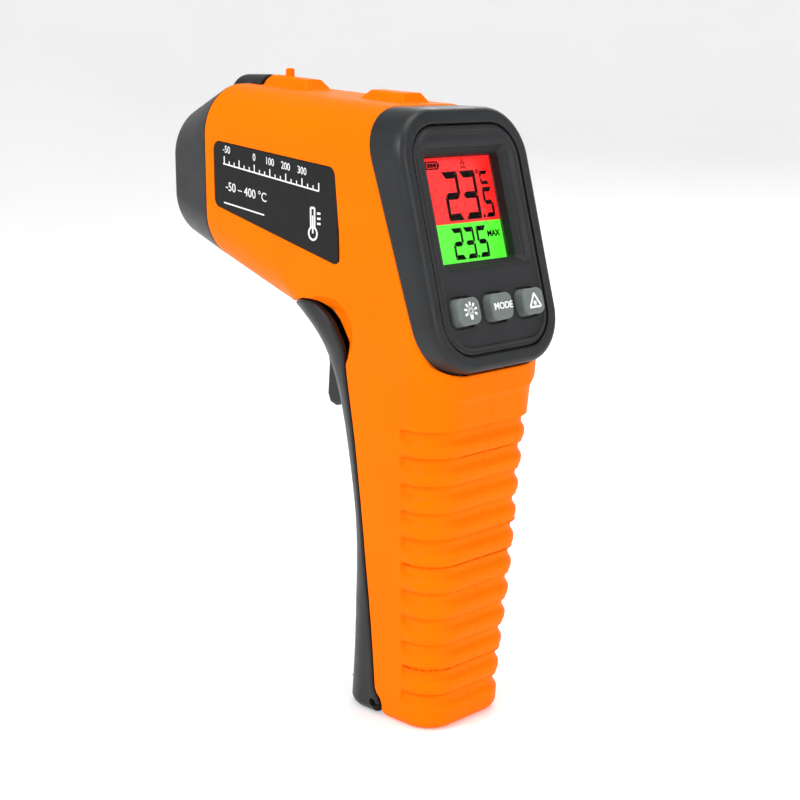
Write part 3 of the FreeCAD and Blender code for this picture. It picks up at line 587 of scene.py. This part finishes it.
def ranged(tree, source, low, high):
    """A number that a noise moves between low and high."""
    node = tree.nodes.new("ShaderNodeMapRange")
    node.inputs["From Min"].default_value = NOISE_LOW
    node.inputs["From Max"].default_value = NOISE_HIGH
    node.inputs["To Min"].default_value = low
    node.inputs["To Max"].default_value = high
    tree.links.new(source, node.inputs["Value"])
    return node.outputs["Result"]


def mottled(tree, source, shades):
    """A colour that a noise moves between two shades."""
    ramp = tree.nodes.new("ShaderNodeValToRGB")
    for stop, shade, spot in zip(ramp.color_ramp.elements, shades, (NOISE_LOW, NOISE_HIGH)):
        stop.position = spot
        stop.color = [*shade, 1]
    tree.links.new(source, ramp.inputs["Fac"])
    return ramp.outputs["Color"]


def grained(tree, shader, source, strength, distance):
    """Gives the shader a fine grain from a noise."""
    raised = tree.nodes.new("ShaderNodeBump")
    raised.inputs["Strength"].default_value = strength
    raised.inputs["Distance"].default_value = distance
    tree.links.new(source, raised.inputs["Height"])
    tree.links.new(raised.outputs["Normal"], shader.inputs["Normal"])


def finish(name, colour, rough, vary=0.06, metal=0.0, patch=60, grain=2500, bump=0.3, depth=0.00002,
           **sockets):
    """A material with mottled colour, uneven gloss and a fine moulded or machined grain."""
    made, tree, shader, where = nodes_of(name)
    shades = [[min(c * amount, 1) for c in colour] for amount in (1 - vary, 1 + vary)]
    tree.links.new(mottled(tree, noise(tree, where, patch, 3), shades), shader.inputs["Base Color"])
    gloss = ranged(tree, noise(tree, where, patch * 4, 4), rough * 0.88, min(rough * 1.14, 1))
    tree.links.new(gloss, shader.inputs["Roughness"])
    grained(tree, shader, noise(tree, where, grain, 2), bump, depth)
    shader.inputs["Metallic"].default_value = metal
    for socket, amount in sockets.items():
        shader.inputs[socket.replace("_", " ")].default_value = amount
    return made


def glowing(name, colour):
    """A backlit display area: even light with a faint mottle."""
    made, tree, shader, where = nodes_of(name)
    shades = [[c * amount for c in colour] for amount in (0.93, 1.0)]
    tree.links.new(mottled(tree, noise(tree, where, 90, 2), shades), shader.inputs["Emission Color"])
    tree.links.new(ranged(tree, noise(tree, where, 700, 3), 0.25, 0.35), shader.inputs["Roughness"])
    shader.inputs["Base Color"].default_value = [c * 0.2 for c in colour] + [1]
    shader.inputs["Emission Strength"].default_value = 1.0
    grained(tree, shader, noise(tree, where, 4000, 1), 0.1, 0.00001)
    return made


# Each slot's colour, roughness and how much its colour varies, then what differs from finish's own values.
LOOKS = {
    "orange_shell": ((0.94, 0.162, 0.0), 0.42, 0.035,
                     dict(patch=45, grain=3200, bump=0.25, depth=0.000012, Specular_IOR_Level=0.03)),
    "dark_trim": ((0.014, 0.015, 0.016), 0.4, 0.12, dict(grain=2600, bump=0.45, Specular_IOR_Level=0.28)),
    "dark_panel": ((0.016, 0.0165, 0.018), 0.5, 0.12, dict(grain=3400, bump=0.6, Specular_IOR_Level=0.28)),
    "key_rubber": ((0.12, 0.142, 0.136), 0.55, 0.1,
                   dict(grain=4200, bump=0.6, Specular_IOR_Level=0.4, Sheen_Weight=0.15)),
    "label_film": ((0.0075, 0.008, 0.0085), 0.45, 0.08, dict(grain=6000, bump=0.2, Specular_IOR_Level=0.16)),
    "clear_window": ((0.97, 0.98, 0.98), 0.03, 0.01,
                     dict(grain=200, bump=0.02, Transmission_Weight=1.0, IOR=1.05)),
    "lcd": ((0.3, 0.36, 0.28), 0.2, 0.05, {}),
    "light_guide": ((0.85, 0.88, 0.84), 0.4, 0.04, {}),
    "white_plastic": ((0.74, 0.74, 0.71), 0.45, 0.05, {}),
    "circuit_board": ((0.012, 0.11, 0.04), 0.32, 0.25, dict(patch=300, grain=1500, bump=0.6)),
    "black_epoxy": ((0.012, 0.012, 0.013), 0.22, 0.1, {}),
    "black_part": ((0.02, 0.02, 0.022), 0.45, 0.12, {}),
    "silicone": ((0.22, 0.22, 0.24), 0.6, 0.08, {}),
    "lens_polymer": ((0.62, 0.62, 0.58), 0.28, 0.04, dict(Subsurface_Weight=0.15)),
    "alloy": ((0.72, 0.72, 0.74), 0.32, 0.06, dict(metal=1.0, patch=200, grain=5000, bump=0.5)),
    "brass_part": ((0.72, 0.5, 0.2), 0.28, 0.08, dict(metal=1.0, patch=200)),
    "steel_part": ((0.58, 0.58, 0.6), 0.3, 0.08, dict(metal=1.0, patch=250, grain=4000, bump=0.5)),
    "nickel": ((0.7, 0.68, 0.64), 0.2, 0.05, dict(metal=1.0, patch=200)),
    "cell_wrap": ((0.03, 0.12, 0.3), 0.28, 0.06, {}),
    "wire_sleeve": ((0.45, 0.015, 0.012), 0.45, 0.1, dict(patch=200)),
}
MATERIALS = {slot: finish(slot, colour, rough, vary, **more)
             for slot, (colour, rough, vary, more) in LOOKS.items()}
WHITE_INK = finish("white_ink", (0.82, 0.83, 0.84), 0.5, 0.05, patch=400, grain=5000, bump=0.3)
RED_LIGHT = glowing("red_backlight", (1.0, 0.022, 0.02))
GREEN_LIGHT = glowing("green_backlight", (0.105, 1.0, 0.04))
SEGMENT_INK = finish("segment_ink", (0.003, 0.003, 0.003), 0.6, 0.2, patch=500, Specular_IOR_Level=0.1)


def place(piece, body, slot, *stands_for, made=None):
    """Gives a piece its material (the slot's own unless made is given), parents it to its body, and hides the
    CAD nodes it stands for.
    """
    piece.data.materials.clear()
    piece.data.materials.append(made or MATERIALS[slot])
    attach(piece, body)
    if stands_for:
        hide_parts(*stands_for)


for part in frame["record"]["subparts"]:
    piece = frame["nodes"][part["node"]]
    piece.data.materials.clear()
    piece.data.materials.append(MATERIALS[part["material_slot"]])

# ---------------------------------------------------------------- camera, floor and light

VIEW_AROUND = math.radians(45)
VIEW_DOWN = math.radians(12.31)

camera = link(bpy.data.cameras.new("camera"), "camera")
camera.data.lens = 68.85
camera.data.sensor_width = 36
camera.data.clip_start = 0.01
camera.location = (0.2768, -0.2604, 0.1572)
heading = Vector((-math.sin(VIEW_AROUND), math.cos(VIEW_AROUND), 0)) * math.cos(VIEW_DOWN)
heading.z = -math.sin(VIEW_DOWN)
camera.rotation_euler = heading.to_track_quat("-Z", "Y").to_euler()
bpy.context.scene.camera = camera
bpy.context.scene.view_settings.view_transform = "Standard"


def make_floor():
    """A pale floor that curves up into a wall all round, far behind the lamps, with no visible horizon."""
    made, tree, shader, where = nodes_of("pale_floor")
    ramp = tree.nodes.new("ShaderNodeValToRGB")
    ramp.color_ramp.elements[0].color = (0.86, 0.86, 0.86, 1)
    ramp.color_ramp.elements[1].color = (0.9, 0.9, 0.9, 1)
    tree.links.new(noise(tree, where, 12, 2), ramp.inputs["Fac"])
    tree.links.new(ramp.outputs["Color"], shader.inputs["Base Color"])
    tree.links.new(ramp.outputs["Color"], shader.inputs["Emission Color"])
    shader.inputs["Emission Strength"].default_value = 0.2
    shader.inputs["Roughness"].default_value = 0.9
    flat, bend, around = 1.1, 0.8, 96
    profile = [(0.001, 0.0), (0.5, 0.0), (flat, 0.0)]
    profile += [(flat + bend * math.sin(a), bend - bend * math.cos(a))
                for a in np.linspace(0, math.pi / 2, 40)[1:]]
    turns = [2 * math.pi * k / around for k in range(around)]
    spots = [(far * math.cos(turn), far * math.sin(turn), up) for far, up in profile for turn in turns]
    faces = bands(len(profile), around)
    mesh = bpy.data.meshes.new("floor")
    mesh.from_pydata(spots, [], faces)
    mesh.polygons.foreach_set("use_smooth", [True] * len(faces))
    floor = link(mesh, "floor")
    floor.data.materials.append(made)


def lamp(name, spot, size, power):
    """A round soft light, aimed at the middle of the object."""
    data = bpy.data.lights.new(name, "AREA")
    data.shape = "DISK"
    data.size, data.energy = size, power
    light = link(data, name)
    light.location = spot
    light.rotation_euler = (Vector((0, 0, 0.09)) - Vector(spot)).to_track_quat("-Z", "Y").to_euler()


make_floor()
lamp("key_light_softbox", (-0.15, -0.95, 0.85), 0.7, 9)
lamp("fill_softbox", (1.0, -0.15, 0.55), 0.9, 4.5)
lamp("top_softbox", (0.1, 0.1, 1.2), 0.8, 6.5)
lamp("rim_softbox", (-0.5, 0.9, 0.7), 0.6, 4)
world = bpy.data.worlds.new("studio")
bpy.context.scene.world = world
world.use_nodes = True
world.node_tree.nodes["Background"].inputs["Color"].default_value = (0.95, 0.96, 0.98, 1)
world.node_tree.nodes["Background"].inputs["Strength"].default_value = 0.4

# ---------------------------------------------------------------- moulded pieces

CASING_CELL = 0.45

for side, name, near, far in ((-1, "left_casing", -22, 0), (1, "right_casing", 0, 22)):
    form = lambda x, y, z, side=side: casing_form(x, y, z, side)
    shell = moulded(name + "_shell", form, (-34, near, 0), (50.5, far, 157), CASING_CELL, 0.4)
    place(shell, "casing", "orange_shell", name)

bezel = moulded("bezel_shell", bezel_form, (24, -22, 84), (52, 22, 152), 0.42, 0.5)
place(bezel, "casing", "dark_trim", "display_bezel")
plate = moulded("faceplate_shell", plate_form, (28, -18.5, 88), (51, 18.5, 152), 0.38, 0.5)
place(plate, "casing", "dark_panel", "display_faceplate")
for at, name in ((-1, "key_light"), (0, "key_mode"), (1, "key_laser")):
    low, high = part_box(name)
    cap = moulded(name + "_cap", key_form(at), [c / MM for c in low], [c / MM for c in high], 0.24, 0.6)
    place(cap, name, "key_rubber", name)
door = moulded("battery_door_shell", door_form, (-12, -20.5, 0), (25, 20.5, 106), 0.45, 0.5)
place(door, "battery_door", "dark_trim", "battery_door")
blade = moulded("trigger_blade", trigger_form, (-9, -5.5, 72), (8, 5.5, 109), 0.35, 0.6)
place(blade, "trigger", "dark_trim", "trigger")
nose = moulded("nose_shell", nose_form, (-51, -20, 109), (-29, 20, 156), 0.42, 0.5)
place(nose, "casing", "dark_trim", "nose_cap")
for side, name, near, far in ((-1, "label_left", -21.5, -15), (1, "label_right", 15, 21.5)):
    film = moulded(name + "_film", label_form(side), (-30, near, 110), (16.5, far, 140), 0.3, 0.35)
    place(film, "casing", "label_film", name)

# ---------------------------------------------------------------- thin printed and lit shapes


def on_panel(u, v, w):
    """A point of the display panel's own frame, in the shared frame, in millimetres."""
    x = PANEL[0] + u * math.sin(TILT) + w * math.cos(TILT)
    return (x, v, PANEL[1] - u * math.cos(TILT) + w * math.sin(TILT))


def slab(points, low, high):
    """A flat outline of (v, u) points as vertices and faces between two depths on the panel."""
    spots = [on_panel(u, v, w) for w in (low, high) for v, u in points]
    n = len(points)
    faces = [tuple(range(n))[::-1], tuple(range(n, 2 * n))]
    faces += [(i, (i + 1) % n, n + (i + 1) % n, n + i) for i in range(n)]
    return spots, faces


def assembled(name, parts):
    """One piece from several sets of points and faces."""
    spots, faces = [], []
    for points, loops in parts:
        faces += [tuple(len(spots) + i for i in loop) for loop in loops]
        spots += points
    return built(name, spots, faces)


def bar(start, end, wide):
    """A straight stroke with square ends from one (v, u) point to another."""
    (ax, ay), (bx, by) = start, end
    long = math.hypot(bx - ax, by - ay)
    nx, ny = -(by - ay) / long * wide / 2, (bx - ax) / long * wide / 2
    return [(ax + nx, ay + ny), (bx + nx, by + ny), (bx - nx, by - ny), (ax - nx, ay - ny)]


def square(v, u):
    return [(v[0], u[0]), (v[1], u[0]), (v[1], u[1]), (v[0], u[1])]


SEGMENTS = {"2": "abged", "3": "abgcd", "5": "afgcd", "C": "afed"}


def digit(sign, v, u, flat, stem):
    """The lit segments of a seven-segment figure: tapered flat bars across, and thinner stems."""
    gap, (left, right), (top, low) = 0.12, v, u
    middle, half = (top + low) / 2, flat / 2
    taper = 0.05 + flat * 0.7
    upper = (top + 0.25, middle - gap, top + 0.25 + stem, middle - gap - stem * 0.5)
    lower = (middle + gap, low - 0.25, middle + gap + stem * 0.5, low - 0.25 - stem)

    def cross(outer, inner):
        return [(left + 0.05, outer), (right - 0.05, outer), (right - taper, inner), (left + taper, inner)]

    def upright(outer, inner, heights):
        a, b, c, d = heights
        return [(outer, a), (outer, b), (inner, d), (inner, c)]

    shapes = {
        "a": cross(top, top + flat),
        "d": cross(low, low - flat),
        "g": [(left + 0.3, middle), (left + 0.3 + half, middle - half), (right - 0.3 - half, middle - half),
              (right - 0.3, middle), (right - 0.3 - half, middle + half), (left + 0.3 + half, middle + half)],
        "b": upright(right, right - stem, upper),
        "c": upright(right, right - stem, lower),
        "e": upright(left, left + stem, lower),
        "f": upright(left, left + stem, upper),
    }
    return [shapes[name] for name in SEGMENTS[sign]]


def display_ink():
    """Everything dark on the display but its word: three readings, a unit, a battery and an alarm sign."""
    ink = digit("2", (-3.6, 1.5), (-9.1, 2.3), 1.6, 0.9)
    ink += digit("3", (2.3, 7.5), (-9.1, 2.3), 1.6, 0.9)
    ink += digit("C", (9.1, 11.9), (-8.8, -5.6), 0.8, 0.5)
    degree = [((8.0, 8.75), (-9.2, -8.95)), ((8.0, 8.75), (-8.55, -8.3)), ((8.0, 8.25), (-9.2, -8.3)),
              ((8.5, 8.75), (-9.2, -8.3))]
    ink += [square(v, u) for v, u in degree]
    ink += digit("5", (9.1, 12.2), (-4.9, 2.2), 1.05, 0.65)
    ink += [square((8.1, 8.7), (1.5, 2.2))]
    ink += digit("2", (-3.8, -0.3), (4.0, 11.4), 1.15, 0.65)
    ink += digit("3", (0.2, 3.6), (4.0, 11.4), 1.15, 0.65)
    ink += [square((3.8, 4.3), (10.8, 11.4))]
    ink += digit("5", (4.5, 7.9), (4.0, 11.4), 1.15, 0.65)
    battery_sign = [((-8.3, -4.3), (-11.7, -11.4)), ((-8.3, -4.3), (-10.1, -9.8)),
                    ((-8.3, -8.0), (-11.7, -9.8)), ((-4.6, -4.3), (-11.7, -9.8)),
                    ((-4.3, -3.9), (-11.2, -10.3))]
    battery_sign += [((v, v + 0.85), (-11.2, -10.3)) for v in (-7.75, -6.75, -5.75)]
    ink += [square(v, u) for v, u in battery_sign]
    ink += [bar((4.0, -11.9), (4.0, -10.9), 0.25), bar((3.2, -11.2), (3.7, -10.6), 0.25),
            bar((4.8, -11.2), (4.3, -10.6), 0.25), square((3.2, 4.8), (-10.1, -9.85))]
    return ink


segments = assembled("lcd_segments", [slab(p, LCD_TOP - 0.02, LCD_TOP + 0.05) for p in display_ink()])
place(segments, "casing", "lcd", made=SEGMENT_INK)


def lettering(name, text, size, put, thick, bold=0.0):
    """Flat letters as a mesh. put takes a letter's own across, up and out in millimetres to the frame."""
    data = bpy.data.curves.new(name, "FONT")
    data.body, data.size = text, size
    data.align_x = "CENTER"
    data.align_y = "CENTER"
    data.extrude = thick / 2
    data.offset = bold
    data.resolution_u = 4
    work = link(data, name + "_outline")
    bpy.context.view_layer.update()
    mesh = bpy.data.meshes.new_from_object(work.evaluated_get(bpy.context.evaluated_depsgraph_get()))
    bpy.data.objects.remove(work)
    for vertex in mesh.vertices:
        vertex.co = [MM * c for c in put(*vertex.co)]
    piece = link(mesh, name)
    finish_edges(piece)
    return piece


word_spot = lambda a, b, c: on_panel(6.1 - b, 10.3 + a, LCD_TOP + 0.02 + c)
word = lettering("lcd_peak_word", "MAX", 2.0, word_spot, 0.06, 0.07)
place(word, "casing", "lcd", made=SEGMENT_INK)

# The display glass: a thin plate with a red area above and a green one below.
GLASS_V = (-13.55, 13.55)
GLASS_BACK = -7.85
upper_glass = assembled("lcd_upper", [slab(square(GLASS_V, (-13.6, 2.92)), GLASS_BACK, LCD_TOP)])
place(upper_glass, "casing", "lcd", "lcd_glass", made=RED_LIGHT)
lower_glass = assembled("lcd_lower", [slab(square(GLASS_V, (2.98, 13.6)), GLASS_BACK, LCD_TOP)])
place(lower_glass, "casing", "lcd", made=GREEN_LIGHT)


def key_print(name, key, at, outlines):
    """White outlines printed on a key, set through its crown. at is the key's place in the row."""
    parts = [slab([(v + KEY_STEP * at, u + KEY_U) for v, u in points], 1.9, 2.26) for points in outlines]
    place(assembled(name, parts), key, "key_rubber", made=WHITE_INK)


def ring(v, u, radius, wide, count=20):
    """A ring as small four-sided pieces."""

    def spot(k, far):
        turn = 2 * math.pi * k / count
        return v + far * math.cos(turn), u + far * math.sin(turn)

    inner = radius - wide
    return [[spot(k, radius), spot(k + 1, radius), spot(k + 1, inner), spot(k, inner)]
            for k in range(count)]


lamp_icon = ring(0, 0.0, 0.95, 0.62)
lamp_icon += [[(-0.55, 0.75), (0.55, 0.75), (0.32, 1.95), (-0.32, 1.95)]]
for k in range(7):
    turn = math.radians(-90 + (k - 3) * 38)
    c, s = math.cos(turn), math.sin(turn)
    lamp_icon.append(bar((1.2 * c, 1.2 * s), (2.1 * c, 2.1 * s), 0.5))
key_print("lamp_mark", "key_light", -1, lamp_icon)
mode_spot = lambda a, b, c: on_panel(KEY_U - b, a * 1.02, KEY_TOP + c)
mode_mark = lettering("mode_mark", "MODE", 2.15, mode_spot, 0.16, 0.05)
place(mode_mark, "key_mode", "key_rubber", made=WHITE_INK)
corners = [(0, -1.75), (1.95, 1.45), (-1.95, 1.45)]
beam_icon = [bar(a, b, 0.5) for a, b in zip(corners, corners[1:] + corners[:1])]
beam_icon += ring(0, 0.55, 0.62, 0.62, 14)
key_print("beam_mark", "key_laser", 1, beam_icon)

# ---------------------------------------------------------------- label print


def label_y(x, z):
    """How far out the label's face is at a point of the side."""
    y = np.linspace(LABEL_Y, 22, 300)
    gap = body_form(np.full_like(y, x), y, np.full_like(y, z)) + 0.06
    return float(np.interp(0, gap, y))


def on_label(side, x, z, lift):
    """A point of the label's face, lifted off it by a little."""
    return (x, side * (label_y(x, z) + lift), z)


def strokes(name, side, lines, wide):
    """Thin printed lines on the label, from (start, end) pairs of (x, z) points."""
    parts = []
    for (ax, az), (bx, bz) in lines:
        long = math.hypot(bx - ax, bz - az)
        steps = max(1, int(long / 2))
        nx, nz = -(bz - az) / long * wide / 2, (bx - ax) / long * wide / 2
        spots = []
        for i in range(steps + 1):
            x, z = ax + (bx - ax) * i / steps, az + (bz - az) * i / steps
            spots += [on_label(side, x + nx, z + nz, -0.03), on_label(side, x + nx, z + nz, 0.05),
                      on_label(side, x - nx, z - nz, 0.05), on_label(side, x - nx, z - nz, -0.03)]
        faces = [(0, 1, 2, 3), tuple(4 * steps + i for i in (3, 2, 1, 0))]
        faces += bands(steps + 1, 4)
        parts.append((spots, faces))
    return assembled(name, parts)


def print_label(side, name):
    """A plain temperature scale and a thermometer sign, with no names or marks."""
    fall = 0.13
    along = lambda x: 131.2 - fall * (x + 8)
    scale = [((-26, along(-26)), (10.5, along(10.5)))]
    for k in range(19):
        x = -25.5 + 2 * k
        tall = 1.9 if k % 3 == 0 else 1.0
        scale.append(((x, along(x)), (x, along(x) + tall)))
    scale += [((-26, along(-26) - 9.6), (-10, along(-10) - 9.6))]
    place(strokes(name + "_scale", side, scale, 0.34), "casing", "label_film", made=WHITE_INK)
    cx, cz = 8.2, 118.8
    turns = [2 * math.pi * k / 18 for k in range(19)]
    bulb = [(cx + 1.5 * math.cos(turn), cz + 1.5 * math.sin(turn)) for turn in turns]
    sign = list(zip(bulb, bulb[1:]))
    sign += [((cx - 0.7, cz + 1.4), (cx - 0.7, cz + 6)), ((cx + 0.7, cz + 1.4), (cx + 0.7, cz + 6)),
             ((cx - 0.7, cz + 6), (cx + 0.7, cz + 6)), ((cx, cz), (cx, cz + 4.2))]
    sign += [((cx + 1.6, cz + h), (cx + 2.8, cz + h)) for h in (2.4, 3.6, 4.8)]
    place(strokes(name + "_sign", side, sign, 0.5), "casing", "label_film", made=WHITE_INK)

    def words(piece_name, text, size, x, up, squeeze):
        def put(a, b, c):
            return on_label(side, x - side * a * squeeze, along(x) + up + b + fall * side * a, 0.02 + c)

        piece = lettering(piece_name, text, size, put, 0.08)
        place(piece, "casing", "label_film", made=WHITE_INK)

    for i, (text, x) in enumerate([("-50", -24.5), ("0", -13.5), ("100", -7.5), ("200", -1.5), ("300", 4.5)]):
        words(f"{name}_number_{i}", text, 2.5, x, 3.6, 0.9)
    words(f"{name}_span", "-50 – 400 °C", 3.1, -17, -5.4, 1)


print_label(-1, "label_left")
print_label(1, "label_right")

# ---------------------------------------------------------------- turned pieces

rings = [(-47.9, 11.3)]
for k in range(7):
    x = -47.8 + 1.2 * k
    rings += [(x, 10.3 - 0.32 * k), (x + 1.05, 10.2 - 0.32 * k), (x + 1.05, 9.85 - 0.32 * k)]
rings += [(-39.3, 7.9), (-39.3, 9.1), (-47.9, 11.4)]
shroud = lathe("lens_shroud_rings", "x", (0, OPTIC_Z), rings)
place(shroud, "casing", "black_part", "lens_shroud")


def battery(name, y, upright):
    """One cell, with a bare metal base, shoulder and button, and a sleeve between them."""
    base, top = 17.2, 60.9
    profile = [(0, 0), (0, 3.6), (0.12, 4.5), (0.5, 5.05), (0.62, 5.16), (1.0, 5.19), (42.6, 5.19),
               (43.1, 5.1), (43.35, 4.7), (43.35, 2.6), (43.5, 1.9), (44.3, 1.8), (44.45, 1.5), (44.45, 0)]
    points = [(base + a, r) if upright else (top - a, r) for a, r in profile]
    can = lathe(name + "_can", "z", (BATTERY_X, y), points, 72)
    place(can, "casing", "cell_wrap", name)
    can.data.materials.append(MATERIALS["nickel"])
    for face in can.data.polygons:
        z = face.center.z / MM
        along = z - base if upright else top - z
        r = math.hypot(face.center.x / MM - BATTERY_X, face.center.y / MM - y)
        if along < 0.6 or along > 43.2 or r < 4.6:
            face.material_index = 1


battery("battery_left", -5.75, True)
battery("battery_right", 5.75, False)
